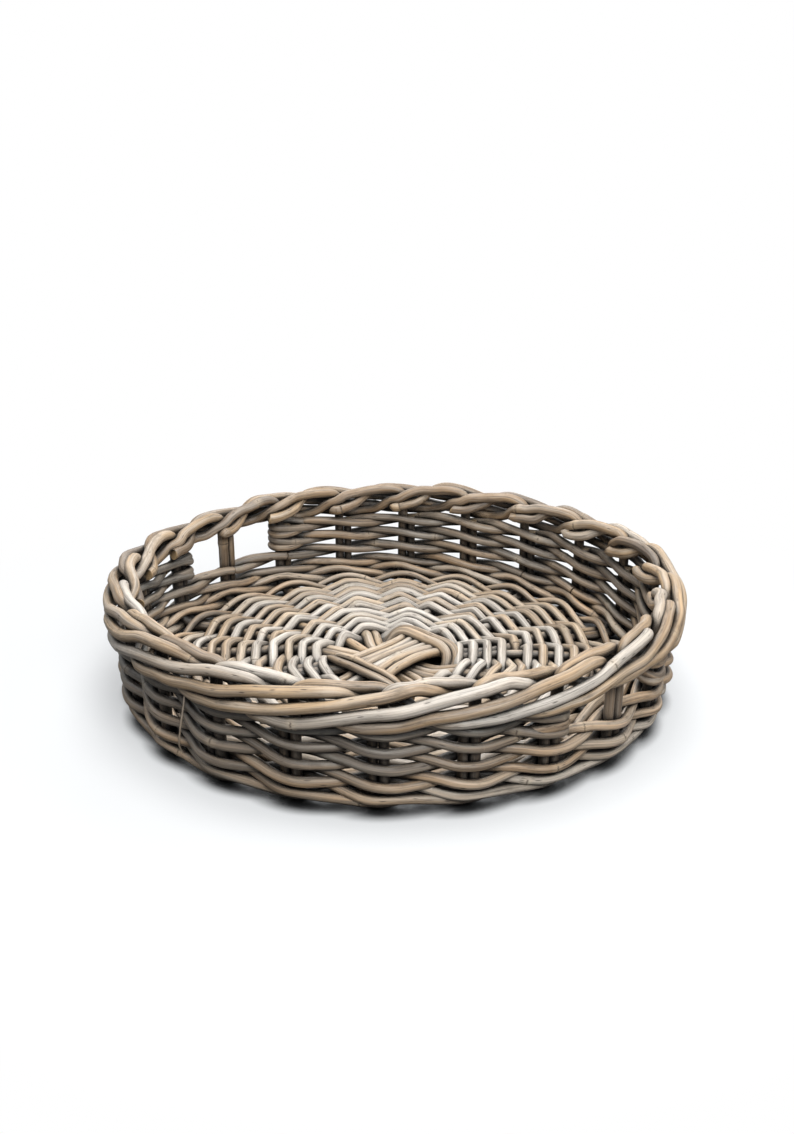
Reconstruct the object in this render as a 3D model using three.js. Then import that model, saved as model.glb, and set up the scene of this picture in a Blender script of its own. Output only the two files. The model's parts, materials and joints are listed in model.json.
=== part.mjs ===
// A round rattan serving tray, woven round a crossed floor of spoke rods. The spokes turn up as the stakes
// of the wall and are laid down again as the rolled border. Millimetres, +Z up, the origin under the middle
// of the floor, the two hand holes facing +X and -X.
import * as THREE from "three";

// Counts
const STATIONS = 22; // pairs of stakes round the wall
const CROSS_RODS_X = 5; // spoke rods along X, the lower layer of the cross
const CROSS_RODS_Y = 6; // spoke rods along Y, the upper layer
const PAIRED_TURNS = 3.5; // turns of each floor weaver round spokes that lie in pairs
const BINDER_ROUNDS = 2;
const WALE_RODS = 3;
const SEAM_STEP = 5; // stations between the seams of one row and the next
const LOWER_ROWS = 2; // wall rows that run all the way round
const UPPER_ROWS = 2; // wall rows that stop at the hand holes
const BEND_STEPS = 3;
const STAKE_SIDES = 5;
const WEAVER_SIDES = 5;
const FLOOR_SIDES = 4;

// Driving sizes
const STAKE_DIAMETER = 8.4;
const WEAVER_DIAMETER = 6.6;
const WALL_RADIUS = 232; // from the tray's axis to the middle of the stakes
const TURN_UP_RADIUS = 16; // the stakes' bend from floor to wall
const BORDER_TURN_RADIUS = 6.5; // their bend from wall to border
const FLOOR_RISE = 6; // the middle of the floor stands this much above its edge
const CLEARANCE = 0.3; // between rods that lie on each other
const FLOOR_CLEARANCE = 1.2; // between neighbouring turns of the floor
const FOOT_CLEARANCE = 1; // between the last turn of the floor and the foot row
const BORDER_CLEARANCE = 1; // between the weave and the border
const STROKE_LAND = 4.5; // a stroke runs straight this far past the rods that it crosses
const BINDER_LAND = 7;
const CROSS_MARGIN = 6; // the spokes run level this far past the cross
const GROUP_RADIUS = 60; // from here out the spokes lie in pairs
const SPREAD_RADIUS = 100; // here the pairs begin to open
const OPEN_RADIUS = 150; // from here out every spoke has its own place
const BYE_STAKE_RADIUS = 158; // from here out each spoke has a bye-stake beside it
const BINDER_GAP = 3; // from the crossing spokes to the first round of the binder
const WEAVE_GAP = 14.75; // from the binder's last round to the first turn of the floor
const FOOT_INSET = 8.85; // from the foot row to the bend of the stakes
const WALE_TILT = Math.PI / 4; // round the bend from floor to wall
const WALE_SPREAD = 0.6; // the wale's outer strokes lie this much further apart than a pair's
const WALE_EASE = 0.8; // the inner strokes stand this much further off the bend
const WRAP_TAIL = 4; // of a weaver's end, behind the post that it wraps
const BUTT_GAP = 0.6; // between two ends that meet

// The border's rods climb round each other as they pass from station to station. Places outwards and upwards
// from the stake's own turn, as shares of the pitch of rods that lie side by side.
const borderOutShares = [1.06, 1.56, 0.76, -0.52, -1.1];
const borderUpShares = [0.05, 1.16, 2.1, 2.05, 0.98];
const borderLastShare = 0.6; // of the last step, before the rod is cut off

// Sizes that follow
const stakeR = STAKE_DIAMETER / 2;
const weaverR = WEAVER_DIAMETER / 2;
const stakePitch = STAKE_DIAMETER + CLEARANCE;
const pairOffset = stakePitch / 2; // from the middle of a pair to the axis of each of its rods
const reach = stakeR + weaverR + CLEARANCE; // from a weaver's axis to the axis of a rod that it crosses
const lift = weaverR + CLEARANCE / 2; // half the distance between two weavers that cross
const rowPitch = 4 * lift + CLEARANCE;
const floorPitch = WEAVER_DIAMETER + FLOOR_CLEARANCE;
const edgeRadius = WALL_RADIUS - TURN_UP_RADIUS;
const floorRodR = weaverR / Math.cos(Math.PI / FLOOR_SIDES); // so that the flats lie on the spokes
const footDrop = weaverR * Math.cos(Math.PI / WEAVER_SIDES); // from a weaver's axis to its lower flat
const floorZ = reach + footDrop; // the axes of the spokes at the edge of the floor
const crossFlat = (CROSS_RODS_Y * stakePitch) / 2 + CROSS_MARGIN;
const crossLift = stakePitch / 2;
const station = (2 * Math.PI) / STATIONS;
const levelUp = new THREE.Vector3(0, 0, 1);

// The floor is dished upwards: radii, and the share of FLOOR_RISE that is left at each.
const domeRadii = [crossFlat, GROUP_RADIUS, SPREAD_RADIUS, OPEN_RADIUS, edgeRadius];
const domeShares = [1, 0.9, 0.7, 0.4, 0];

function spokeZ(radius) {
  let i = 1;
  while (i < domeRadii.length - 1 && radius > domeRadii[i]) i++;
  const t = (radius - domeRadii[i - 1]) / (domeRadii[i] - domeRadii[i - 1]);
  const share = THREE.MathUtils.lerp(domeShares[i - 1], domeShares[i], THREE.MathUtils.clamp(t, 0, 1));
  return floorZ + FLOOR_RISE * share;
}

// A place given by its station, which need not be whole, its distance out, its offset along the wall and its
// height
function at(place, out, along, z) {
  return new THREE.Vector3(out, along, z).applyAxisAngle(levelUp, place * station);
}

// A rod along a line of points: every stretch is a straight prism, and neighbours meet on a mitre. With an up
// direction the level stretches keep a flat down, without one the section is carried along untwisted.
function rod(points, radius, sides, up) {
  const line = points.filter((p, i) => i === 0 || p.distanceTo(points[i - 1]) > CLEARANCE);
  const ways = line.slice(1).map((p, i) => p.clone().sub(line[i]).normalize());
  const frames = [];
  for (const way of ways) {
    let side;
    if (up) {
      side = up.clone().cross(way).normalize();
    } else if (frames.length) {
      const last = ways[frames.length - 1];
      side = frames[frames.length - 1].side.clone();
      side.applyQuaternion(new THREE.Quaternion().setFromUnitVectors(last, way));
    } else {
      side = levelUp.clone().cross(way).normalize();
    }
    frames.push({ side, up: way.clone().cross(side) });
  }
  const corners = [];
  line.forEach((centre, i) => {
    const before = Math.max(i - 1, 0);
    const after = Math.min(i, ways.length - 1);
    const normal = ways[before].clone().add(ways[after]).normalize();
    const k = Math.abs(ways[before].z) < Math.abs(ways[after].z) ? before : after;
    for (let j = 0; j < sides; j++) {
      const a = (2 * Math.PI * (j + 1 / 2)) / sides - Math.PI / 2;
      const arm = frames[k].side.clone().multiplyScalar(radius * Math.cos(a));
      arm.addScaledVector(frames[k].up, radius * Math.sin(a));
      corners.push(arm.addScaledVector(ways[k], -arm.dot(normal) / ways[k].dot(normal)).add(centre));
    }
  });
  const index = [];
  for (let i = 0; i + 1 < line.length; i++) {
    for (let j = 0; j < sides; j++) {
      const a = i * sides + j;
      const b = i * sides + ((j + 1) % sides);
      index.push(a, b, b + sides, a, b + sides, a + sides);
    }
  }
  const end = (line.length - 1) * sides;
  for (let j = 1; j + 1 < sides; j++) {
    index.push(0, j + 1, j, end, end + j, end + j + 1);
  }
  return new THREE.BufferGeometry().setFromPoints(corners).setIndex(index);
}

const tray = new THREE.Group();
const rattan = {
  stake: [0xb9a184, 0xa68f74, 0xc3b8a8, 0x8f7c68, 0xb09a80],
  weaver: [0x8a7a6b, 0x9c8c7b, 0x7d7168, 0xa59684],
  floor: [0xb4a797, 0x9a8b7b],
  binder: [0xbfb2a0],
};

function add(name, geometry, colours, index) {
  const color = colours[index % colours.length];
  const material = new THREE.MeshStandardMaterial({ color, roughness: 0.72, metalness: 0 });
  const mesh = new THREE.Mesh(geometry, material);
  mesh.name = name;
  tray.add(mesh);
}

// Spoke rods
// The ends of the spokes, each with its station, the middle line of its pair, its side of that line and the
// place where it leaves the cross. The arms of the cross point at whole or half stations.
const ends = [];

function spokeEnd(arm, offset, pairs, rods, layer) {
  const farthest = (rods - 1) / 2;
  const place = (arm + offset + STATIONS) % STATIONS;
  const pairLine = (arm + pairs + STATIONS) % STATIONS;
  const side = Math.sign(Math.round(2 * (offset - pairs)));
  const group = at(pairs, GROUP_RADIUS, side * pairOffset, 0);
  const turn = Math.atan2(Math.abs(group.y - offset * stakePitch), group.x - crossFlat);
  const mitre = pairs ? (farthest - Math.abs(offset)) * stakePitch * Math.tan(turn / 2) : 0;
  const crossPoint = at(arm, crossFlat + mitre, offset * stakePitch, floorZ + FLOOR_RISE + layer * crossLift);
  const end = { arm, offset, farthest, layer, place, pairLine, side, crossPoint };
  ends.push(end);
  return end;
}

// Where the axis of a spoke is at a distance out
function spokeAt(end, radius) {
  const z = spokeZ(radius);
  if (radius >= OPEN_RADIUS) return at(end.place, radius, pairOffset, z);
  const paired = at(end.pairLine, Math.min(radius, SPREAD_RADIUS), end.side * pairOffset, z);
  if (radius <= SPREAD_RADIUS) return paired;
  const open = at(end.place, OPEN_RADIUS, pairOffset, z);
  return paired.lerp(open, (radius - SPREAD_RADIUS) / (OPEN_RADIUS - SPREAD_RADIUS));
}

// The bend from floor to wall, for a rod at an offset along the wall
function turnUp(place, along) {
  const points = [];
  for (let i = 0; i <= BEND_STEPS; i++) {
    const a = (i * Math.PI) / 2 / BEND_STEPS;
    const out = edgeRadius + TURN_UP_RADIUS * Math.sin(a);
    points.push(at(place, out, along, floorZ + TURN_UP_RADIUS * (1 - Math.cos(a))));
  }
  return points;
}

// Heights of the wall's rows
const waleZ = floorZ + TURN_UP_RADIUS * (1 - Math.cos(WALE_TILT));
const waleInnerZ = waleZ + (reach + WALE_EASE) * Math.cos(WALE_TILT);
const firstRowZ = waleInnerZ + 2 * lift + CLEARANCE + lift * (1 - Math.cos(WALE_TILT));
const lastRowZ = firstRowZ + (LOWER_ROWS + UPPER_ROWS - 1) * rowPitch;
const borderZ = lastRowZ + lift + weaverR + BORDER_CLEARANCE + stakeR - borderUpShares[0] * stakePitch;

// A stake is laid down to one side, passes outside the next stakes, over the border and down its inside.
function border(place) {
  const points = [];
  for (let i = 0; i <= 2; i++) {
    const a = (i * Math.PI) / 4;
    const along = pairOffset + BORDER_TURN_RADIUS * (1 - Math.cos(a));
    points.push(at(place, WALL_RADIUS, along, borderZ - BORDER_TURN_RADIUS * (1 - Math.sin(a))));
  }
  borderOutShares.forEach((outShare, i) => {
    const out = WALL_RADIUS + outShare * stakePitch;
    points.push(at(place + i + 1, out, pairOffset, borderZ + borderUpShares[i] * stakePitch));
  });
  const last = points.pop();
  points.push(last.lerp(points[points.length - 1], 1 - borderLastShare));
  return points;
}

function halfSpoke(end) {
  const floor = [GROUP_RADIUS, SPREAD_RADIUS, OPEN_RADIUS].map((radius) => spokeAt(end, radius));
  return [end.crossPoint, ...floor, ...turnUp(end.place, pairOffset), ...border(end.place)];
}

function addSpoke(name, first, second, index) {
  const line = [...halfSpoke(first).reverse(), ...halfSpoke(second)];
  add(name, rod(line, stakeR, STAKE_SIDES), rattan.stake, index);
}

const halfTurn = STATIONS / 2;
for (let i = 0; i < CROSS_RODS_X; i++) {
  const k = i - (CROSS_RODS_X - 1) / 2;
  const pair = Math.sign(k) * 1.5;
  const far = spokeEnd(halfTurn, -k, -pair, CROSS_RODS_X, -1);
  const near = spokeEnd(0, k, pair, CROSS_RODS_X, -1);
  addSpoke("spoke_x" + (i + 1), far, near, i);
}
for (let i = 0; i < CROSS_RODS_Y; i++) {
  const k = i - (CROSS_RODS_Y - 1) / 2;
  const pair = 2 * Math.round(k / 2);
  const far = spokeEnd(STATIONS / 4 + halfTurn, k, pair, CROSS_RODS_Y, 1);
  const near = spokeEnd(STATIONS / 4, -k, -pair, CROSS_RODS_Y, 1);
  addSpoke("spoke_y" + (i + 1), far, near, i + 2);
}

// Bye-stakes, pushed in beside the spokes and cut off under the border
const byeTop = borderZ + borderUpShares[0] * stakePitch - stakeR - BORDER_CLEARANCE;
for (let i = 0; i < STATIONS; i++) {
  const start = at(i, BYE_STAKE_RADIUS, -pairOffset, spokeZ(BYE_STAKE_RADIUS));
  const line = [start, ...turnUp(i, -pairOffset), at(i, WALL_RADIUS, -pairOffset, byeTop)];
  const name = "bye_stake_" + String(i + 1).padStart(2, "0");
  add(name, rod(line, stakeR, STAKE_SIDES), rattan.stake, 3 * i + 1);
}

// Binder
// It holds the cross together: it goes round, over the upper layer and under the lower one.
function armStroke(arm, distance) {
  const corner = ends.find((end) => end.arm === arm && end.offset === end.farthest);
  const t = (distance - crossFlat) / (GROUP_RADIUS - crossFlat);
  const axis = corner.crossPoint.clone().lerp(spokeAt(corner, GROUP_RADIUS), t);
  const z = axis.z + corner.layer * reach;
  const angle = arm * station;
  const along = axis.y * Math.cos(angle) - axis.x * Math.sin(angle) + BINDER_LAND;
  return [at(arm, distance, -along, z), at(arm, distance, along, z)];
}

const arms = [0, STATIONS / 4, STATIONS / 2, (3 * STATIONS) / 4];
const binderStrokes = BINDER_ROUNDS * arms.length;
const binderAt = (i) => crossFlat + BINDER_GAP + (floorPitch * i) / arms.length;
const binderLine = [];
for (let i = 0; i < binderStrokes; i++) {
  binderLine.push(...armStroke(arms[i % arms.length], binderAt(i)));
}
add("binder", rod(binderLine, weaverR, WEAVER_SIDES, levelUp), rattan.binder, 0);

// Floor
// The lists of rods that a floor weaver crosses as one, in order round the tray
const inOrder = [...ends].sort((a, b) => a.place - b.place);
const pairs = [];
for (const end of inOrder) {
  const last = pairs[pairs.length - 1];
  if (last && last[0].pairLine === end.pairLine) last.push(end);
  else pairs.push([end]);
}

const weaveStart = binderAt(binderStrokes - 1) + WEAVE_GAP;

// The two places where a stroke starts and ends its straight run over or under the rods that it crosses
function stroke(group, radius, height) {
  const first = spokeAt(group[0], radius);
  const last = spokeAt(group[group.length - 1], radius);
  if (radius + weaverR + CLEARANCE > BYE_STAKE_RADIUS) {
    first.copy(at(group[0].place, radius, -pairOffset, first.z));
  }
  const round = (p) => new THREE.Vector3(-p.y, p.x, 0).setLength(STROKE_LAND);
  const start = first.sub(round(first));
  const finish = last.add(round(last));
  start.z += height;
  finish.z += height;
  return [start, finish];
}

function spiral(turn, chaser) {
  return weaveStart + floorPitch * (2 * turn + chaser);
}

// Two weavers chase each other outwards, one over where the other goes under, until the foot row is reached.
const footRadius = edgeRadius - FOOT_INSET;
const floorEnd = footRadius - weaverR - lift - FOOT_CLEARANCE - weaverR;
const turns = ((floorEnd - weaveStart) / floorPitch - 1) / 2;
const singleCrossings = Math.round((turns - PAIRED_TURNS) * STATIONS);

for (let chaser = 0; chaser < 2; chaser++) {
  const line = [];
  let over = chaser === 0;
  const pairedCrossings = Math.round(PAIRED_TURNS * pairs.length);
  for (let i = 0; i < pairedCrossings; i++) {
    const group = pairs[i % pairs.length];
    const turn = Math.floor(i / pairs.length) + group[0].place / STATIONS;
    line.push(...stroke(group, spiral(turn, chaser), over ? reach : -reach));
    over = !over;
  }
  const firstSingle = Math.round((PAIRED_TURNS % 1) * STATIONS);
  for (let i = 0; i < singleCrossings; i++) {
    const group = [inOrder[(firstSingle + i) % STATIONS]];
    const turn = PAIRED_TURNS + i / STATIONS;
    line.push(...stroke(group, spiral(turn, chaser), over ? reach : -reach));
    over = !over;
  }
  add("floor_weaver_" + (chaser + 1), rod(line, floorRodR, FLOOR_SIDES, levelUp), rattan.floor, chaser);
}

// Twined rows
// A row is worked on the stakes at a tilt: none on the floor, a quarter turn on the wall. Outer is away from
// the tray's inside, and side is along the stakes.
function rowPoint(row, place, along, outer, side) {
  const out = row.out + outer * Math.sin(row.tilt) + side * Math.cos(row.tilt);
  return at(place, out, along, row.z - outer * Math.cos(row.tilt) + side * Math.sin(row.tilt));
}

const landHalf = pairOffset + STROKE_LAND;

function outerStroke(row, place) {
  return [rowPoint(row, place, -landHalf, reach, lift), rowPoint(row, place, landHalf, reach, -lift)];
}

function innerStroke(row, place) {
  return [rowPoint(row, place, -landHalf, -reach, -lift), rowPoint(row, place, landHalf, -reach, lift)];
}

// A weaver of a pair goes once round, and its ends meet in the middle of one of its inner strokes.
function ringOfPair(row, seam) {
  const [start, end] = innerStroke(row, seam);
  const gap = BUTT_GAP / start.distanceTo(end) / 2;
  const line = [start.clone().lerp(end, 1 / 2 + gap), end];
  for (let i = 1; i < STATIONS; i++) {
    line.push(...(i % 2 ? outerStroke(row, seam + i) : innerStroke(row, seam + i)));
  }
  line.push(start, start.clone().lerp(end, 1 / 2 - gap));
  return line;
}

// The foot row lies flat on the floor's underside, and the tray stands on its outer strokes.
const foot = { out: footRadius, z: floorZ, tilt: 0 };
for (let i = 0; i < 2; i++) {
  add("foot_weaver_" + (i + 1), rod(ringOfPair(foot, i), weaverR, WEAVER_SIDES, levelUp), rattan.weaver, i);
}

for (let i = 0; i < LOWER_ROWS; i++) {
  const row = { out: WALL_RADIUS, z: firstRowZ + i * rowPitch, tilt: Math.PI / 2 };
  for (let j = 0; j < 2; j++) {
    const line = ringOfPair(row, SEAM_STEP * (i + 1) + j);
    const name = "wall_weaver_" + (i + 1) + "_" + (j + 1);
    add(name, rod(line, weaverR, WEAVER_SIDES, levelUp), rattan.weaver, 2 * i + j);
  }
}

// The wale: three rods that go outside two stakes and behind one, and meet end to end behind stakes
const wale = { out: edgeRadius + TURN_UP_RADIUS * Math.sin(WALE_TILT), z: waleZ, tilt: WALE_TILT };
const behind = reach + WALE_EASE;
const waleLift = lift + WALE_SPREAD / 2;
for (let i = 0; i < WALE_RODS; i++) {
  const strokes = WALE_RODS * Math.round(STATIONS / WALE_RODS);
  const first = i * strokes;
  const last = i + 1 < WALE_RODS ? first + strokes : WALE_RODS * STATIONS;
  const line = [rowPoint(wale, first, BUTT_GAP / 2, -behind, 0)];
  for (let place = first; place < last; place += WALE_RODS) {
    line.push(rowPoint(wale, place, landHalf, -behind, waleLift));
    line.push(rowPoint(wale, place + 1, -landHalf, reach, waleLift));
    line.push(rowPoint(wale, place + 1, landHalf, reach, waleLift));
    line.push(rowPoint(wale, place + 2, -landHalf, reach, -waleLift));
    line.push(rowPoint(wale, place + 2, landHalf, reach, -waleLift));
    line.push(rowPoint(wale, place + WALE_RODS, -landHalf, -behind, -waleLift));
  }
  line.push(rowPoint(wale, last, -BUTT_GAP / 2, -behind, 0));
  add("wale_rod_" + (i + 1), rod(line, weaverR, WEAVER_SIDES, levelUp), rattan.weaver, i + 1);
}

// The upper rows stop at the hand holes, where each weaver is wrapped round the post and ends behind it.
const wrapSide = pairOffset + reach;
function wrap(row, place, towards, outside) {
  const outer = outside ? reach : -reach;
  const height = outside === towards > 0 ? -lift : lift;
  const tail = height * (1 + WRAP_TAIL / landHalf);
  const far = towards * landHalf;
  return [
    rowPoint(row, place, towards * wrapSide, 0, height),
    rowPoint(row, place, far, -outer, height),
    rowPoint(row, place, far - towards * WRAP_TAIL, -outer, tail),
  ];
}

for (let row = 0; row < UPPER_ROWS; row++) {
  const z = firstRowZ + (LOWER_ROWS + row) * rowPitch;
  const level = { out: WALL_RADIUS, z, tilt: Math.PI / 2 };
  for (let side = 0; side < 2; side++) {
    const firstPost = side * halfTurn + 1;
    const lastPost = firstPost + halfTurn - 2;
    for (let i = 0; i < 2; i++) {
      const outsideAt = (place) => (place - firstPost + i) % 2 === 0;
      const line = wrap(level, firstPost, -1, outsideAt(firstPost)).reverse();
      for (let place = firstPost; place <= lastPost; place++) {
        line.push(...(outsideAt(place) ? outerStroke(level, place) : innerStroke(level, place)));
      }
      line.push(...wrap(level, lastPost, 1, outsideAt(lastPost)));
      const name = "hand_hole_weaver_" + (row + 1) + "_" + (2 * side + i + 1);
      add(name, rod(line, weaverR, WEAVER_SIDES, levelUp), rattan.weaver, row + side + i);
    }
  }
}

export default tray;
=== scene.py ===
# %% [markdown]
# # A round rattan tray, rod by rod
# The tray is basketry: nothing in it but rods of weathered cane. Eleven rods cross in the middle of the
# floor, thinner weavers circle over and under them, the rods turn up as the stakes of the wall, and their
# ends are laid down along the top as the rolled border.
#
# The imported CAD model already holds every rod, as a straight-sided prism bent at its corners. It gives the
# places. This scene gives the looks: each prism is replaced by a round, slightly uneven cane that bends
# softly along the same route, with the grain, the knots and the colours of old rattan.

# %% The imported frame
import json
import math

import bpy
import numpy as np
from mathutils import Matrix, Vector

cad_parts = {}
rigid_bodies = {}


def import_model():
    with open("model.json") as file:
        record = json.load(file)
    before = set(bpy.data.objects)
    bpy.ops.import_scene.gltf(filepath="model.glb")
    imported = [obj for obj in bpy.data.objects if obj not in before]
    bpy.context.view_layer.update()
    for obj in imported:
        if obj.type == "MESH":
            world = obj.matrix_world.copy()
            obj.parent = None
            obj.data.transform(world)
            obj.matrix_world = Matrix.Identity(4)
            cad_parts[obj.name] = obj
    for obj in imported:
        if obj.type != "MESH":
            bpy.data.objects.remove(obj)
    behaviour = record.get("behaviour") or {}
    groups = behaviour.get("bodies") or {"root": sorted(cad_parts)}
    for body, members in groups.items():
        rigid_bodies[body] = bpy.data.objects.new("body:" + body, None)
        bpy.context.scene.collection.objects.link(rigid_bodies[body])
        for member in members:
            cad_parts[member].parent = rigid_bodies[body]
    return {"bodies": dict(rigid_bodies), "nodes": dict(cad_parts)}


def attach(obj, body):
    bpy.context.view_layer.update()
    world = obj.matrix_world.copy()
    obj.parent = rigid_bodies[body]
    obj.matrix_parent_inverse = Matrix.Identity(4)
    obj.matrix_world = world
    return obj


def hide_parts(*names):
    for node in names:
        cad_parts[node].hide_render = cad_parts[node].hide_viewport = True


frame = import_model()
scene = bpy.context.scene
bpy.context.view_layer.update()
body = next(iter(frame["bodies"]))
print("the frame has", len(frame["nodes"]), "rods and one body,", body)

# %% [markdown]
# ## The plan of the weave
# A basket maker counts before cutting: so many stakes, so many rows. The same counts and sizes are behind the
# CAD model, in millimetres. They are repeated here because the routes are worked out again, with many more
# points.

# %% Counts and sizes, in millimetres
MM = 0.001  # Blender counts in metres
STATIONS = 22  # pairs of stakes round the wall
STEP = 2 * math.pi / STATIONS
HALF_TURN = STATIONS // 2
STAKE_R, WEAVER_R = 4.2, 3.3
CLEARANCE = 0.3
STAKE_PITCH = 2 * STAKE_R + CLEARANCE
PAIR = STAKE_PITCH / 2  # from the middle of a pair to each of its rods
REACH = STAKE_R + WEAVER_R + CLEARANCE  # from a weaver to a rod that it crosses
LIFT = WEAVER_R + CLEARANCE / 2  # half the height between two weavers that cross
ROW_PITCH = 4 * LIFT + CLEARANCE
WALL_RADIUS, TURN_UP = 232, 16  # TURN_UP is the radius of the bend from floor to wall
EDGE_RADIUS = WALL_RADIUS - TURN_UP
FLOOR_Z = REACH + WEAVER_R * math.cos(math.pi / 5)
FLOOR_RISE = 6
CROSS_FLAT = 3 * STAKE_PITCH + 6
# how far out the spokes are drawn into pairs, start to open, stand singly, and get their bye-stakes
GROUP_R, SPREAD_R, OPEN_R, BYE_R = 60, 100, 150, 158
LAND = 4.5  # a stroke runs straight this far past the rods that it crosses
LAND_HALF = PAIR + LAND
print("rows of the wall are", round(ROW_PITCH, 1), "mm apart")

# %% [markdown]
# Everything is round, so a place is easiest to give as a basket maker sees it: which pair of stakes, how far
# out, how far along the wall from the middle of that pair, and how high.


# %% Places round the tray
def at(place, out, along, z):
    turn = place * STEP
    x = out * math.cos(turn) - along * math.sin(turn)
    y = out * math.sin(turn) + along * math.cos(turn)
    return np.array([x, y, z])


def floor_height(radius):
    """How high the axes of the spokes lie: the floor is domed a little, and lowest at its edge."""
    radii = [CROSS_FLAT, GROUP_R, SPREAD_R, OPEN_R, EDGE_RADIUS]
    return FLOOR_Z + FLOOR_RISE * float(np.interp(radius, radii, [1, 0.9, 0.7, 0.4, 0]))


print("the middle of the floor is", round(floor_height(0) - floor_height(230), 1), "mm above its edge")

# %% [markdown]
# ## How a cane bends
# A prism turns sharp corners, a real cane does not. Where a cane kinks over a spoke, each corner is cut by a
# short arc. Where it is pulled into a long sweep, as in the border, a smooth curve passes through all the
# points. Either way the route is then divided evenly, because each point becomes one ring of the rod.

# %% Routes
SPACING = 2.8  # between two rings
CURVE_STEPS = 12  # of a smooth curve between two of its points


def kinked(points, *bends):
    """The route with an arc in place of each corner, from so far before it to as far after it. Where two
    bends are given, the corners take them in turn."""
    points = [np.asarray(p, float) for p in points]
    t = np.linspace(0, 1, 7)[:, None]
    line = [points[0][None]]
    for i, (before, here, after) in enumerate(zip(points, points[1:], points[2:])):
        back, ahead, bend = before - here, after - here, bends[i % len(bends)]
        a = here + back * min(0.48, bend / np.linalg.norm(back))
        b = here + ahead * min(0.48, bend / np.linalg.norm(ahead))
        line.append((1 - t) ** 2 * a + 2 * t * (1 - t) * here + t * t * b)
    line.append(points[-1][None])
    return np.vstack(line)


def swept(points):
    """A smooth curve through all the points: a Catmull-Rom spline whose pace follows their distances."""
    p = np.asarray(points, float)
    pace = np.linalg.norm(np.diff(p, axis=0), axis=1)[:, None] ** 0.5
    slope = np.diff(p, axis=0) / pace
    inner = (slope[1:] * pace[:-1] + slope[:-1] * pace[1:]) / (pace[1:] + pace[:-1])
    tangent = np.vstack([slope[:1], inner, slope[-1:]])
    t = np.linspace(0, 1, CURVE_STEPS, endpoint=False)[:, None]
    line = []
    for i in range(len(pace)):
        leave = (2 * t**3 - 3 * t**2 + 1) * p[i] + (t**3 - 2 * t**2 + t) * pace[i] * tangent[i]
        reach = (3 * t**2 - 2 * t**3) * p[i + 1] + (t**3 - t**2) * pace[i] * tangent[i + 1]
        line.append(leave + reach)
    return np.vstack([*line, p[-1:]])


def lengths(line):
    return np.concatenate([[0], np.cumsum(np.linalg.norm(np.diff(line, axis=0), axis=1))])


def evenly(line):
    """The same route with its points a ring's spacing apart."""
    line = line[np.concatenate([[True], np.linalg.norm(np.diff(line, axis=0), axis=1) > 1e-6])]
    at_length = lengths(line)
    count = max(3, round(at_length[-1] / SPACING)) + 1
    wanted = np.linspace(0, at_length[-1], count)
    return np.stack([np.interp(wanted, at_length, line[:, k]) for k in range(3)], axis=1)


# %% [markdown]
# ## What hands leave behind
# A woven tray is never exactly round or level. Part of that is shared: where the wall leans out, every rod
# there leans with it, so one gentle warp moves all rods alike.
# The rest belongs to each cane: it wavers a little between its crossings, thickens and thins, and has a knot
# here and there, where a leaf once grew.


# %% Unevenness
LEAN_HEIGHT = 75  # above the floor's edge, where the lean of the wall reaches its full amount
KNOT_GAPS = (130, 420)


def settle(line):
    """The shared lean of the wall and the border, nothing at the foot and most at the rim."""
    angle = np.arctan2(line[:, 1], line[:, 0])
    share = np.clip((line[:, 2] - FLOOR_Z) / LEAN_HEIGHT, 0, 1.3)
    out = share * (1.2 * np.sin(2 * angle + 0.6) + 0.9 * np.sin(5 * angle + 2) + 0.5 * np.sin(9 * angle))
    up = share * (1.0 * np.sin(3 * angle + 1) + 0.9 * np.sin(7 * angle + 0.2) + 0.5 * np.sin(11 * angle + 2))
    moved = line.copy()
    moved[:, 0] += out * np.cos(angle)
    moved[:, 1] += out * np.sin(angle)
    moved[:, 2] += up
    return moved


def slow_noise(rng, count, width, columns=1):
    """Random values that drift smoothly, about 1 in size, over a width counted in rings."""
    reach = np.arange(-3 * width, 3 * width + 1)
    window = np.exp(-0.5 * (reach / width) ** 2)
    raw = rng.normal(size=(count + 6 * width, columns))
    smooth = np.stack([np.convolve(raw[:, k], window, "valid") for k in range(columns)], axis=1)
    return smooth / math.sqrt((window**2).sum())


def knots_along(rng, length):
    """Places of the knots along a cane."""
    places, here = [], rng.uniform(20, 400)
    while here < length:
        places.append(here)
        here += rng.uniform(*KNOT_GAPS)
    return np.array(places)


# %% [markdown]
# One strand of cane is the line of its ring centres, with the facts that each ring carries: its radius, its
# place along the cane, its colour tone, how near the next knot is, and whether it is a cut end. Those facts
# travel with the mesh as attributes, and the material reads them.


# %% A strand
TIP = 0.08  # from each end to one more ring there, as a share of the spacing, so that the cut is crisp
FAR_FROM_KNOT = 30.0


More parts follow.
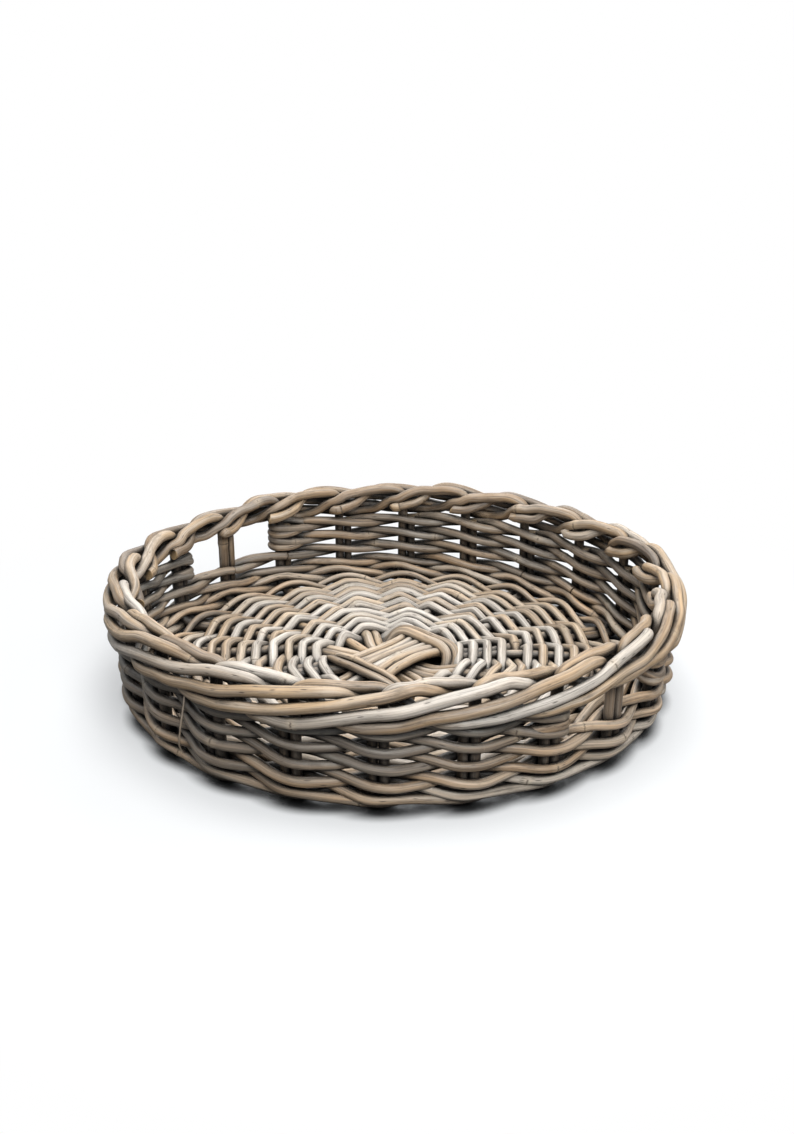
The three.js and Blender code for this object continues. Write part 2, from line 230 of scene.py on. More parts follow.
def strand(route, radius, tone, seed, wander=0.3, slant=(0.0, 0.0), tones=None):
    """Rings along a route in millimetres. tone runs from 0, dark, to 1, pale; tones gives it at shares of
    the length. slant is how obliquely each end is cut, as a share of the radius."""
    rng = np.random.default_rng(seed)
    line = evenly(np.asarray(route, float))
    count = len(line)
    fade = np.clip(np.minimum(np.arange(count), np.arange(count)[::-1]) / 4, 0, 1)[:, None]
    line = line + fade * wander * slow_noise(rng, count, 5, 3)
    tip = [line[0] + (line[1] - line[0]) * TIP, line[-1] + (line[-2] - line[-1]) * TIP]
    line = settle(np.vstack([line[:1], tip[:1], line[1:-1], tip[1:], line[-1:]]))
    count = len(line)
    along = lengths(line)
    thick = radius * (1 + 0.025 * slow_noise(rng, count, 8)[:, 0])
    knot = np.full(count, FAR_FROM_KNOT)
    for place in knots_along(rng, along[-1]):
        gap = along - place
        thick *= 1 + 0.09 * np.exp(-((gap / 2.6) ** 2)) - 0.03 * np.exp(-(((gap - 6) / 4) ** 2))
        knot = np.where(np.abs(gap) < np.abs(knot), gap, knot)
    thick[[0, -1]] *= 0.93
    shade = np.full(count, tone, float)
    if tones is not None:
        shade = np.interp(along / along[-1], tones[0], tones[1])
    shade = shade + 0.05 * slow_noise(rng, count, 14)[:, 0]
    cut = np.zeros(count)
    cut[[0, -1]] = 1
    lean = np.zeros(count)
    lean[[0, -1]] = [-slant[0], slant[1]]
    way = np.gradient(line, axis=0)
    way /= np.linalg.norm(way, axis=1)[:, None]
    return {
        "place": line * MM,
        "way": way,
        "thick": thick * MM,
        "along": (along + rng.uniform(0, 4000)) * MM,
        "tone": np.clip(shade, 0, 1),
        "knot": knot,
        "cut": cut,
        "slant": lean,
    }


print("a ring every", SPACING, "mm")

# %% [markdown]
# ## The rod itself
# A rod could be a curve object with a bevel, but a bevel can't be lumpy and carries no attributes. Geometry
# Nodes can do both: the strand's points become a curve, a circle is drawn along it at each ring's own radius,
# every point learns where it is on the cane, and the skin is pushed in and out a little along its normals.


# %% Small helpers for node trees
def node(tree, kind, inputs=(), **settings):
    """A new node. Its settings are set, and each input gets a value or a link from another node's output."""
    made = tree.nodes.new(kind)
    for name, value in settings.items():
        setattr(made, name, value)
    for key, value in dict(inputs).items():
        if isinstance(value, bpy.types.NodeSocket):
            tree.links.new(value, made.inputs[key])
        else:
            made.inputs[key].default_value = value
    return made


def empty_tree(owner):
    owner.use_nodes = True
    owner.node_tree.nodes.clear()
    return owner.node_tree


def maths(tree, operation, *values):
    return node(tree, "ShaderNodeMath", enumerate(values), operation=operation).outputs[0]


# %% [markdown]
# One tree makes round rods, the oval binder and the thin fibre.


# %% The tree that turns strands into canes
def cane_tree():
    tree = bpy.data.node_groups.new("cane along a strand", "GeometryNodeTree")
    face = tree.interface
    face.new_socket("Geometry", in_out="INPUT", socket_type="NodeSocketGeometry")
    face.new_socket("Sides", in_out="INPUT", socket_type="NodeSocketInt").default_value = 14
    face.new_socket("Width", in_out="INPUT", socket_type="NodeSocketFloat").default_value = 1
    face.new_socket("Height", in_out="INPUT", socket_type="NodeSocketFloat").default_value = 1
    face.new_socket("Lumps", in_out="INPUT", socket_type="NodeSocketFloat").default_value = 0.0003
    face.new_socket("Seed", in_out="INPUT", socket_type="NodeSocketFloat").default_value = 0
    face.new_socket("Finish", in_out="INPUT", socket_type="NodeSocketMaterial")
    face.new_socket("Geometry", in_out="OUTPUT", socket_type="NodeSocketGeometry")
    given = tree.nodes.new("NodeGroupInput").outputs

    def fact(name, kind="FLOAT"):
        return node(tree, "GeometryNodeInputNamedAttribute", {"Name": name}, data_type=kind).outputs[0]

    def stored(geometry, name, value, kind="FLOAT"):
        wanted = {"Geometry": geometry, "Name": name, "Value": value}
        return node(tree, "GeometryNodeStoreNamedAttribute", wanted, data_type=kind).outputs[0]

    def scaled(vector, by):
        wanted = {0: vector, "Scale": by}
        return node(tree, "ShaderNodeVectorMath", wanted, operation="SCALE").outputs[0]

    line = node(tree, "GeometryNodeMeshToCurve", {"Mesh": given["Geometry"]}).outputs[0]
    line = node(tree, "GeometryNodeSetCurveNormal", {"Curve": line}, mode="MINIMUM_TWIST").outputs[0]
    ring = node(tree, "GeometryNodeCurvePrimitiveCircle", {"Resolution": given["Sides"], "Radius": 1.0})
    turn = node(tree, "GeometryNodeSplineParameter").outputs["Factor"]
    turn = maths(tree, "MULTIPLY", turn, 2 * math.pi)
    ring = stored(ring.outputs["Curve"], "around", turn)
    oval = {"X": given["Width"], "Y": given["Height"], "Z": 1.0}
    oval = node(tree, "ShaderNodeCombineXYZ", oval).outputs[0]
    ring = node(tree, "GeometryNodeTransform", {"Geometry": ring, "Scale": oval}).outputs[0]
    wanted = {"Curve": line, "Profile Curve": ring, "Scale": fact("thick"), "Fill Caps": True}
    skin = node(tree, "GeometryNodeCurveToMesh", wanted).outputs[0]

    across = maths(tree, "MULTIPLY", maths(tree, "COSINE", fact("around")), fact("thick"))
    upward = maths(tree, "MULTIPLY", maths(tree, "SINE", fact("around")), fact("thick"))
    grain = node(tree, "ShaderNodeCombineXYZ", {"X": fact("along"), "Y": across, "Z": upward}).outputs[0]
    skin = stored(skin, "grain", grain, "FLOAT_VECTOR")

    stretched = {0: grain, 1: (45, 220, 220)}
    stretched = node(tree, "ShaderNodeVectorMath", stretched, operation="MULTIPLY").outputs[0]
    wanted = {"Vector": stretched, "W": given["Seed"], "Scale": 1.0, "Detail": 1.0}
    lumps = node(tree, "ShaderNodeTexNoise", wanted, noise_dimensions="4D").outputs[0]
    push = maths(tree, "MULTIPLY", maths(tree, "SUBTRACT", lumps, 0.5), given["Lumps"])
    swell = scaled(node(tree, "GeometryNodeInputNormal").outputs[0], push)
    shear = scaled(fact("way", "FLOAT_VECTOR"), maths(tree, "MULTIPLY", fact("slant"), across))
    moved = node(tree, "ShaderNodeVectorMath", {0: swell, 1: shear}, operation="ADD").outputs[0]
    skin = node(tree, "GeometryNodeSetPosition", {"Geometry": skin, "Offset": moved}).outputs[0]
    skin = node(tree, "GeometryNodeSetShadeSmooth", {"Geometry": skin, "Shade Smooth": True}).outputs[0]
    skin = node(tree, "GeometryNodeRealizeInstances", {"Geometry": skin}).outputs[0]
    skin = node(tree, "GeometryNodeSetMaterial", {"Geometry": skin, "Material": given["Finish"]}).outputs[0]
    node(tree, "NodeGroupOutput", {"Geometry": skin})
    return tree


CANE = cane_tree()
print("the tree has", len(CANE.nodes), "nodes")

# %% [markdown]
# The strands of one piece go in as bare edges. The modifier's inputs are set by their identifiers before the
# piece is first evaluated, the result is kept as a plain mesh, and the modifier goes. The piece then rides on
# the tray's one body and stands for its CAD rod.


# %% From strands to a piece
def set_input(modifier, name, value):
    for item in modifier.node_group.interface.items_tree:
        if item.in_out == "INPUT" and item.name == name:
            modifier[item.identifier] = value


def cane(name, strands, finish, stands_for=None, sides=14, width=1.0, height=1.0, lumps=0.0003):
    starts = np.cumsum([0] + [len(s["thick"]) for s in strands])
    edges = [np.stack([np.arange(a, b - 1), np.arange(a + 1, b)], 1) for a, b in zip(starts, starts[1:])]
    mesh = bpy.data.meshes.new(name)
    mesh.from_pydata(np.vstack([s["place"] for s in strands]), np.vstack(edges), [])
    for fact in ("thick", "along", "tone", "knot", "cut", "slant"):
        values = np.concatenate([s[fact] for s in strands]).astype(np.float32)
        mesh.attributes.new(fact, "FLOAT", "POINT").data.foreach_set("value", values)
    ways = np.vstack([s["way"] for s in strands]).astype(np.float32)
    mesh.attributes.new("way", "FLOAT_VECTOR", "POINT").data.foreach_set("vector", ways.ravel())
    piece = bpy.data.objects.new(name, mesh)
    scene.collection.objects.link(piece)
    modifier = piece.modifiers.new("cane", "NODES")
    modifier.node_group = CANE
    given = {"Sides": sides, "Width": width, "Height": height, "Lumps": lumps, "Finish": finish}
    given["Seed"] = float(sum(map(ord, name)))
    for key, value in given.items():
        set_input(modifier, key, value)
    evaluated = piece.evaluated_get(bpy.context.evaluated_depsgraph_get())
    solid = bpy.data.meshes.new_from_object(evaluated)
    piece.modifiers.clear()
    piece.data = solid
    solid.name = name
    bpy.data.meshes.remove(mesh)
    for fact in ("thick", "along", "slant", "way", "around"):
        if fact in solid.attributes:
            solid.attributes.remove(solid.attributes[fact])
    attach(piece, body)
    if stands_for:
        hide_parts(stands_for)


# %% [markdown]
# ## The look of old cane
# Freshly peeled rattan is even and yellowish. Left in the rain, it turns grey in some canes and stays tan in
# others, and one cane can change from the one to the other along its length. Seen close, there are fine
# fibres lengthwise, smoky patches, small dark specks and slits, a dark line at each knot, and a porous face
# where a cane was cut. Where canes press together, the groove between them is painted nearly black as
# painted shade: an ambient occlusion node finds those places, because it tells how closed in a point is.
#
# An image would repeat itself along fifty metres of cane. The patterns are noise instead, read in the cane's
# own coordinates, so that they stretch into fibres that follow every bend.


# %% Colours
def rgb(code):
    """A colour as written on a screen, such as c9ae85, turned into the linear values that shaders use."""
    parts = [int(code[i : i + 2], 16) / 255 for i in (0, 2, 4)]
    return (*[p / 12.92 if p <= 0.04045 else ((p + 0.055) / 1.055) ** 2.4 for p in parts], 1.0)


def ramp(tree, value, stops):
    made = node(tree, "ShaderNodeValToRGB", {0: value})
    points = made.color_ramp.elements
    while len(points) < len(stops):
        points.new(0.5)
    for point, (place, colour) in zip(points, stops):
        point.position = place
        point.color = rgb(colour) if isinstance(colour, str) else (colour, colour, colour, 1)
    return made.outputs[0]


def rising(tree, value, low, high, to_low=0.0, to_high=1.0):
    """From to_low to to_high while the value goes from low to high, and level beyond them."""
    wanted = {0: value, 1: low, 2: high, 3: to_low, 4: to_high}
    return node(tree, "ShaderNodeMapRange", wanted, clamp=True).outputs[0]


def mixed(tree, share, a, b, blend="MIX"):
    made = node(tree, "ShaderNodeMix", {0: share, 6: a, 7: b}, data_type="RGBA", blend_type=blend)
    return made.outputs[2]


# %% [markdown]
# The three finishes differ only in colour. Each works from broad to fine: the tone of the cane, the grey of
# the weather, fibres, smoky patches, specks and slits, knots, the cut ends, and last the painted shade in the
# grooves.


# %% The cane finish
TONE_DRIFT = 0.7  # how far the tone wanders along a cane


def cane_finish(name, tones, grey="a49d94", smoke="4d443b", seed=0.0):
    """Weathered cane. tones are the colours from the darkest canes to the palest."""
    material = bpy.data.materials.new(name)
    tree = empty_tree(material)

    def fact(attribute, output="Fac"):
        return node(tree, "ShaderNodeAttribute", attribute_name=attribute).outputs[output]

    grain = fact("grain", "Vector")

    def mapped(location, scale):
        wanted = {"Vector": grain, "Location": location, "Scale": scale}
        return node(tree, "ShaderNodeMapping", wanted).outputs[0]

    def noise(along, across, detail=2.0, rough=0.55, place=0.0):
        vector = mapped((seed + place, place, 0), (along, across, across))
        wanted = {"Vector": vector, "Scale": 1.0, "Detail": detail, "Roughness": rough}
        return node(tree, "ShaderNodeTexNoise", wanted).outputs[0]

    def cells(location, scale):
        wanted = {"Vector": mapped(location, scale), "Scale": 1.0}
        return node(tree, "ShaderNodeTexVoronoi", wanted).outputs

    def between(value, *limits):
        return rising(tree, value, *limits)

    def times(a, b):
        return maths(tree, "MULTIPLY", a, b)

    def minus(a, b):
        return maths(tree, "SUBTRACT", a, b)

    patina = noise(9, 110, 4, 0.6, 3.1)
    drift = times(minus(patina, 0.5), TONE_DRIFT)
    tone = maths(tree, "ADD", fact("tone"), drift)
    count = len(tones) - 1
    colour = ramp(tree, tone, [(i / count, tone_colour) for i, tone_colour in enumerate(tones)])
    greyed = between(noise(14, 190, 3, 0.6, 9.9), 0.42, 0.66)
    colour = mixed(tree, times(greyed, 0.55), colour, rgb(grey))

    fibres = noise(22, 1300, 4, 0.65, 7.7)
    lines = ramp(tree, fibres, [(0.28, 0.4), (0.46, 0.93), (0.7, 1.16)])
    colour = mixed(tree, 1.0, colour, lines, "MULTIPLY")
    bands = noise(8, 480, 3, 0.6, 1.3)
    streaks = ramp(tree, bands, [(0.3, 0.45), (0.52, 1.0), (0.7, 1.12)])
    colour = mixed(tree, 1.0, colour, streaks, "MULTIPLY")
    patches = between(noise(42, 210, 5, 0.7, 5.2), 0.54, 0.7)
    colour = mixed(tree, times(patches, 0.55), colour, rgb(smoke))

    dots = cells((seed, 2, 9), (85, 500, 500))
    rare = between(node(tree, "ShaderNodeSeparateColor", {0: dots["Color"]}).outputs[0], 0.8, 0.82)
    specks = times(between(dots["Distance"], 0.14, 0.28, 1.0, 0.0), rare)
    slits = between(noise(60, 2400, 2, 0.5, 11.4), 0.68, 0.75)
    marks = maths(tree, "MAXIMUM", specks, times(slits, 0.8))
    colour = mixed(tree, times(marks, 0.75), colour, rgb("2e2620"))

    near_knot = maths(tree, "ABSOLUTE", maths(tree, "ADD", fact("knot"), between(fibres, 0, 1, -1.6, 1.6)))
    broken = between(noise(60, 300, 2, 0.5, 4.4), 0.4, 0.56)
    knot_line = times(between(near_knot, 0.3, 1.1, 1.0, 0.0), broken)
    knot_halo = between(near_knot, 1.0, 6.0, 1.0, 0.0)
    colour = mixed(tree, times(knot_halo, 0.22), colour, rgb("c9b79c"))
    colour = mixed(tree, times(knot_line, 0.7), colour, rgb("3a2f26"))

    pores = cells((0, 0, 0), (0, 1900, 1900))["Distance"]
    pith = mixed(tree, between(pores, 0.1, 0.35, 1.0, 0.0), rgb("97805f"), rgb("45372a"))
    colour = mixed(tree, fact("cut"), colour, pith)

    # painted shade: the colour is darkened towards black where the cane is closed in by its neighbours
    corner = node(tree, "ShaderNodeAmbientOcclusion", {"Distance": 0.018}, samples=4).outputs["AO"]
    colour = mixed(tree, 1.0, colour, between(corner, 0.42, 0.86, 0.01, 1.0), "MULTIPLY")

    relief = maths(tree, "ADD", times(fibres, 0.7), times(bands, 0.8))
    relief = minus(minus(relief, times(marks, 0.7)), times(knot_line, 0.9))
    bump = node(tree, "ShaderNodeBump", {"Strength": 0.75, "Distance": 0.0004, "Height": relief}).outputs[0]
    rough = between(maths(tree, "ADD", fibres, patches), 0.3, 1.4, 0.42, 0.75)
    coat = {"Base Color": colour, "Roughness": rough, "Normal": bump}
    shader = node(tree, "ShaderNodeBsdfPrincipled", coat)
    node(tree, "ShaderNodeOutputMaterial", {"Surface": shader.outputs[0]})
    return material


STAKE_TONES = ["46382c", "685a4c", "8a745b", "ad9475", "aca092", "bdb7af"]
WALL_TONES = ["605e59", "766c61", "8e7e6c", "b5997a", "bfad98", "cec3b5"]
FLOOR_TONES = ["63564a", "877662", "b09a80", "bfae98", "b8b0a6", "c9c3bb"]
stake_finish = cane_finish("weathered_cane_stakes", STAKE_TONES, seed=1.0)
wall_finish = cane_finish("weathered_cane_weavers", WALL_TONES, grey="8f8c85", seed=2.0)
floor_finish = cane_finish("weathered_cane_floor", FLOOR_TONES, grey="aca59c", smoke="635648", seed=3.0)
print("finishes:", [m.name for m in (stake_finish, wall_finish, floor_finish)])

# %% [markdown]
# ## Spokes, stakes and border
# One rod does three jobs. It crosses the middle of the floor as a spoke, bends up as a stake of the wall at
# both ends, and is laid down at the top. There it makes a hump over the inner edge, dives between the next
# two stakes to the outside, hangs there under the later ones, climbs slowly over the rim and ends inside,
# five stations on. Because the rod really is one piece, it is made as one strand: the grain then runs on
# round every bend, as it does in the photograph.
#
# The rods along X lie under the rods along Y. Outside the cross they are drawn together in pairs, and further
# out they open again, until each stands at its own station.

# %% Where the spokes run
BORDER_FOOT = 0.05  # in rod pitches, the height at which the border rests on the wall
# stations past its own stake, and millimetres out from the wall and up from the border's foot
BORDER_RUN = [
    (0, 0, 0), (0, 0.5, 9), (0.03, 0.3, 15.5), (0.13, -0.5, 19.3), (0.3, -1.5, 20.6), (0.5, -3.2, 20.4),
    (0.72, -5, 19), (0.92, -7.5, 16.5), (1.05, -8.2, 13.2), (1.2, -4.5, 8.5), (1.33, 1, 3), (1.46, 5.5, -2),
    (1.6, 9.5, -4.5), (1.8, 12.3, -5.4), (2, 13.5, -4.6), (2.2, 14, -3), (2.5, 14.2, 0.6), (2.8, 14.2, 4),
    (3.15, 13.6, 7.4), (3.45, 12.4, 10.8), (3.75, 10.6, 14.6), (4.05, 8.4, 18.2), (4.35, 6.4, 20.2),
    (4.52, 3.2, 17.4), (4.65, -1.8, 12.4), (4.77, -7.5, 8.6), (4.95, -10.5, 6), (5.15, -11.8, 4.8),
    (5.35, -12.2, 4.4),
]
WALE_TILT, WALE_EASE = math.pi / 4, 0.8
WALE_Z = FLOOR_Z + TURN_UP * (1 - math.cos(WALE_TILT))
WALE_TOP = WALE_Z + (REACH + WALE_EASE) * math.cos(WALE_TILT)
FIRST_ROW_Z = WALE_TOP + 2 * LIFT + CLEARANCE + LIFT * (1 - math.cos(WALE_TILT))
LAST_ROW_Z = FIRST_ROW_Z + 3 * ROW_PITCH
BORDER_Z = LAST_ROW_Z + LIFT + WEAVER_R + 1 + STAKE_R - BORDER_FOOT * STAKE_PITCH


def spoke_end(arm, offset, pairs, rods, layer):
    """One end of a spoke: its station, the middle line of its pair, its side of it, and its place at the
    edge of the cross."""
    farthest = (rods - 1) / 2
    side = float(np.sign(round(2 * (offset - pairs))))
    group = at(pairs, GROUP_R, side * PAIR, 0)
    turn = math.atan2(abs(group[1] - offset * STAKE_PITCH), group[0] - CROSS_FLAT)
    mitre = (farthest - abs(offset)) * STAKE_PITCH * math.tan(turn / 2) if pairs else 0
    height = FLOOR_Z + FLOOR_RISE + layer * STAKE_PITCH / 2
    cross = at(arm, CROSS_FLAT + mitre, offset * STAKE_PITCH, height)
    return {
        "arm": arm,
        "offset": offset,
        "place": (arm + offset) % STATIONS,
        "line": (arm + pairs) % STATIONS,
        "side": side,
        "cross": cross,
        "layer": layer,
    }


def spoke_at(end, radius):
    z = floor_height(radius)
    if radius >= OPEN_R:
        return at(end["place"], radius, PAIR, z)
    paired = at(end["line"], min(radius, SPREAD_R), end["side"] * PAIR, z)
    if radius <= SPREAD_R:
        return paired
    opened = at(end["place"], OPEN_R, PAIR, z)
    return paired + (opened - paired) * (radius - SPREAD_R) / (OPEN_R - SPREAD_R)


def turn_up(place, along):
    turns = np.linspace(0, math.pi / 2, 6)
    outs, heights = EDGE_RADIUS + TURN_UP * np.sin(turns), FLOOR_Z + TURN_UP * (1 - np.cos(turns))
    return [at(place, out, along, z) for out, z in zip(outs, heights)]


def border(place, rng):
    """The stake's end, laid down along the top of the wall over the next five stations. It hangs lowest
    outside the second one, and less low where it spans a hand hole."""
    stray = rng.normal(0, 0.6, (len(BORDER_RUN), 2))
    stray[:4] = 0
    laid = []
    for (past, out, up), (x, z) in zip(BORDER_RUN, stray):
        from_hole = (place + past + HALF_TURN / 2) % HALF_TURN - HALF_TURN / 2
        low = min(1, max(0, (5 - up) / 9)) if past > 1 else 0
        clear = 4.5 * low * math.exp(-((from_hole / 1.1) ** 4))
        laid.append(at(place + past, WALL_RADIUS + out + x, PAIR, BORDER_Z + up + z + clear))
    laid[-1] = laid[-2] + (laid[-1] - laid[-2]) * rng.uniform(-0.8, 0.9)
    return laid


# %% [markdown]
# Five spokes run along X and six along Y, and each end of one becomes the stake of a station. Stations are
# counted from +X, where one hand hole is; the other is at station 11.


# %% The ends of all the spokes
spokes = []
for i in range(5):
    k = i - 2
    pairs = float(np.sign(k)) * 1.5
    ends = [spoke_end(HALF_TURN, -k, -pairs, 5, -1), spoke_end(0, k, pairs, 5, -1)]
    spokes.append(("spoke_x" + str(i + 1), ends))
for i in range(6):
    k = i - 2.5
    pairs = 2.0 * math.floor(k / 2 + 0.5)
    ends = [spoke_end(5.5 + HALF_TURN, k, pairs, 6, 1), spoke_end(5.5, -k, -pairs, 6, 1)]
    spokes.append(("spoke_y" + str(i + 1), ends))
in_order = sorted((end for _, ends in spokes for end in ends), key=lambda end: end["place"])
print("stations of the ends:", [end["place"] for end in in_order])

# %% [markdown]
# The border shows each rod's colour best, so its tones are chosen station by station to give the run of tan,
# grey and white that the photograph shows. The part that stands in the wall is dark and brown, partly its own
# colour and partly painted shade of the weave, and the part that crosses the floor has a tone of its own.

# %% Spokes, made
BORDER_TONES = [
    0.55, 0.78, 0.48, 0.34, 0.54, 0.36, 0.48, 0.38, 0.28, 0.38, 0.2,
    0.5, 0.68, 0.62, 0.84, 0.55, 0.52, 0.93, 0.5, 0.92, 0.54, 0.5,
]
SPOKE_TONES = [0.5, 0.62, 0.55, 0.7, 0.5, 0.66, 0.84, 0.62, 0.86, 0.74, 0.68]
# partly the rods' own darker colour, partly painted shade: the tone where a rod stands in the wall among the
# weavers
STAKE_TONE = 0.24
for index, (name, ends) in enumerate(spokes):
    rng = np.random.default_rng(100 + index)
    halves, marks = [], []
    for end in ends:
        floor_part = [end["cross"]] + [spoke_at(end, r) for r in (GROUP_R, SPREAD_R, OPEN_R)]
        halves.append(floor_part + turn_up(end["place"], PAIR) + border(end["place"], rng))
    route = swept(halves[0][::-1] + halves[1])
    (first, late_first), (last, late_last) = (
        (BORDER_TONES[int(end["place"])], BORDER_TONES[(int(end["place"]) + 1) % STATIONS]) for end in ends
    )
    across = SPOKE_TONES[index]
    shares = [0, 0.18, 0.21, 0.275, 0.3, 0.34, 0.37, 0.63, 0.66, 0.7, 0.725, 0.79, 0.82, 1]
    tones = [late_first, late_first, first, first, STAKE_TONE, STAKE_TONE, across]
    tones += [across, STAKE_TONE, STAKE_TONE, last, last, late_last, late_last]
    radius = STAKE_R + rng.uniform(0.1, 0.65)
    rods = [strand(route, radius, 0, 200 + index, 0.25, (0.7, 0.7), (shares, tones))]
    cane(name + "_cane", rods, stake_finish, name)
print(len(spokes), "spokes with", 2 * len(spokes), "border ends")

# %% [markdown]
# ## Bye-stakes
# Beside each stake a second, shorter rod is pushed down into the weave, to make the wall stiff. It starts in
# the outer part of the floor, follows the stake up and is cut off under the border.

# %% Bye-stakes, made
bye_top = BORDER_Z + BORDER_FOOT * STAKE_PITCH - STAKE_R - 5
HOLE_EXTRA = 4  # the posts in the middle of the hand holes reach up higher
for i in range(STATIONS):
    rng = np.random.default_rng(300 + i)
    start = at(i, BYE_R, -PAIR, floor_height(BYE_R))
    top = bye_top + (HOLE_EXTRA if i % HALF_TURN == 0 else 0)
    route = swept([start, *turn_up(i, -PAIR), at(i, WALL_RADIUS, -PAIR, top)])
    rods = [strand(route, STAKE_R + rng.uniform(-0.25, 0.1), rng.uniform(0.12, 0.42), 320 + i, 0.2)]
    name = "bye_stake_" + str(i + 1).zfill(2)
    cane(name + "_cane", rods, stake_finish, name)
print(STATIONS, "bye-stakes")

# %% [markdown]
# ## The binder
# Before the floor can be woven, the cross is tied: a broad, split cane goes twice round it, over the arms of
# the upper layer and under those of the lower one. A split cane is flatter than a whole one, so its ring is
# an oval.

# %% The binder, made
BINDER_PITCH = 7.8
BINDER_GAP, BINDER_LAND = 3, 7  # from the cross to the first round, and past the outer spokes of an arm
ARMS = [0, STATIONS / 4, STATIONS / 2, 3 * STATIONS / 4]
binder_start = CROSS_FLAT + BINDER_GAP


def arm_stroke(arm, distance):
    corner = max((e for _, ends in spokes for e in ends if e["arm"] == arm), key=lambda e: e["offset"])
    share = (distance - CROSS_FLAT) / (GROUP_R - CROSS_FLAT)
    axis = corner["cross"] + (spoke_at(corner, GROUP_R) - corner["cross"]) * share
    turn = arm * STEP
    along = axis[1] * math.cos(turn) - axis[0] * math.sin(turn) + BINDER_LAND
    z = axis[2] + corner["layer"] * REACH
    return [at(arm, distance, -along, z), at(arm, distance, along, z)]


route = []
for i in range(2 * len(ARMS)):
    route += arm_stroke(ARMS[i % len(ARMS)], binder_start + BINDER_PITCH * i / len(ARMS))
route = [(route[0] + route[1]) / 2, *route[1:]]
tuck = arm_stroke(ARMS[0], binder_start + BINDER_PITCH * 2)
route += [tuck[0], (tuck[0] + tuck[1]) / 2]
rods = [strand(kinked(route, 18), WEAVER_R + 0.9, 0.28, 400, 0.3, (0.5, 0.5))]
cane("binder_cane", rods, floor_finish, "binder", 16, 1.12, 0.9)

# %% [markdown]
# ## The woven floor
# Two weavers chase each other outwards in a spiral. Where one passes over a spoke the other passes under it,
# and they change places at the next. Near the middle they take the spokes in pairs, further out one by one.
# At each spoke the cane kinks, which draws the chevrons that run from the middle to the wall.
#
# No cane is long enough for the whole spiral. A new one is joined in every turn or two, with its end tucked
# under a spoke, and each has its own colour, so the floor is banded: pale and grey near the middle, then tan,
# then brown towards the wall.

# %% The route of the floor weavers
WEAVE_START, WEAVE_END = 58.5, 203
WEAVE_PITCH = 6.9
PAIRED_TURNS = 4
FLOOR_R = 4.25
FLOOR_LAND = 1.2  # a stroke runs straight this far past its spokes
TABLE_GAP = 1.2  # and keeps at least this far off the table
FLOOR_REACH = REACH - 0.8  # the canes press into each other where they cross
FLOOR_DRAW = 2.6  # an under stroke is drawn in towards the middle, which sharpens the kinks on top
pairs = []
for end in in_order:
    if pairs and pairs[-1][0]["line"] == end["line"]:
        pairs[-1].append(end)
    else:
        pairs.append([end])


def floor_stroke(group, radius, height):
    first, last = spoke_at(group[0], radius), spoke_at(group[-1], radius)
    if radius + FLOOR_R > BYE_R:
        first = at(group[0]["place"], radius, -PAIR, first[2])
    ends = []
    for point, onward in ((first, -1), (last, 1)):
        around = np.array([-point[1], point[0], 0]) / np.hypot(point[0], point[1])
        laid = point + around * onward * FLOOR_LAND
        laid[2] = max(laid[2] + height, FLOOR_R + TABLE_GAP)
        ends.append(laid)
    return ends


def floor_route(chaser):
    """Every stroke of one weaver: its two points, its distance out and whether it lies on top."""
    strokes, over = [], False
    for i in range(chaser - 1, PAIRED_TURNS * len(pairs)):
        group = pairs[i % len(pairs)]
        turn = i // len(pairs) + group[0]["place"] / STATIONS
        strokes.append((group, turn))
    end_turn = ((WEAVE_END - WEAVE_START) / WEAVE_PITCH - 1) / 2
    for i in range(round((end_turn - PAIRED_TURNS) * STATIONS)):
        strokes.append(([in_order[i % STATIONS]], PAIRED_TURNS + i / STATIONS))
    made = []
    for group, turn in strokes:
        radius = WEAVE_START + WEAVE_PITCH * (2 * turn + chaser) - (0 if over else FLOOR_DRAW)
        start, finish = floor_stroke(group, radius, FLOOR_REACH if over else -FLOOR_REACH)
        if made:
            # The run over the spokes is in line with what came before; the kink is just behind them.
            last = made[-1][0][1]
            share = np.hypot(*(start - last)[:2]) / np.hypot(*(finish - last)[:2])
            start[:2] = last[:2] + (finish - last)[:2] * share
        made.append(((start, finish), radius, over))
        over = not over
    return made


print("groups of spokes that are woven as one:", [len(group) for group in pairs])

# %% [markdown]
# The strands are cut from that route. Each ends halfway through a stroke under a spoke, where the next
# begins.

# %% The floor weavers, made
BANDS = [
    [0.86, 0.92, 0.4, 0.88, 0.45, 0.82, 0.35, 0.42, 0.7, 0.35, 0.45, 0.3, 0.5, 0.32, 0.42, 0.3],
    [0.88, 0.6, 0.84, 0.5, 0.92, 0.42, 0.38, 0.78, 0.5, 0.36, 0.3, 0.42, 0.28, 0.45, 0.3, 0.35],
]
FIRST_LENGTH, LATER_LENGTHS = (500, 800), (700, 1300)
for chaser in range(2):
    rng = np.random.default_rng(500 + chaser)
    shades = BANDS[chaser]
    strokes = floor_route(chaser)
    rods, points, band = [], [], 0
    wanted = rng.uniform(*FIRST_LENGTH)
    for (start, finish), radius, over in strokes:
        points += [start, finish] if points else [(start + finish) / 2, finish]
        length = lengths(np.array(points))[-1]
        if not over and length > wanted:
            middle = (start + finish) / 2
            points[-1] = middle
            tone = shades[band % len(shades)]
            radius = FLOOR_R + rng.uniform(-0.3, 0.3)
            rods.append(strand(kinked(points, 3, 6), radius, tone, 520 + 40 * chaser + band))
            points = [middle + (finish - middle) * 0.1, finish]
            band += 1
            wanted = rng.uniform(*LATER_LENGTHS)
    rods.append(strand(kinked(points, 3, 6), FLOOR_R, shades[band % len(shades)], 590 + chaser))
    name = "floor_weaver_" + str(chaser + 1)
    cane(name + "_cane", rods, floor_finish, name)
    print(name, "has", len(rods), "strands")

# %% [markdown]
# ## Twined rows
# The rows of the wall are twined: two weavers, and at every pair of stakes one lies outside and the other
# inside, then they cross and change places. A weaver comes out high from behind a stake, drops as it rounds
# the next one, where it kinks, and runs on level until it dives behind again. The same stroke, laid flat,
# makes the foot row under the floor, on which the tray stands.


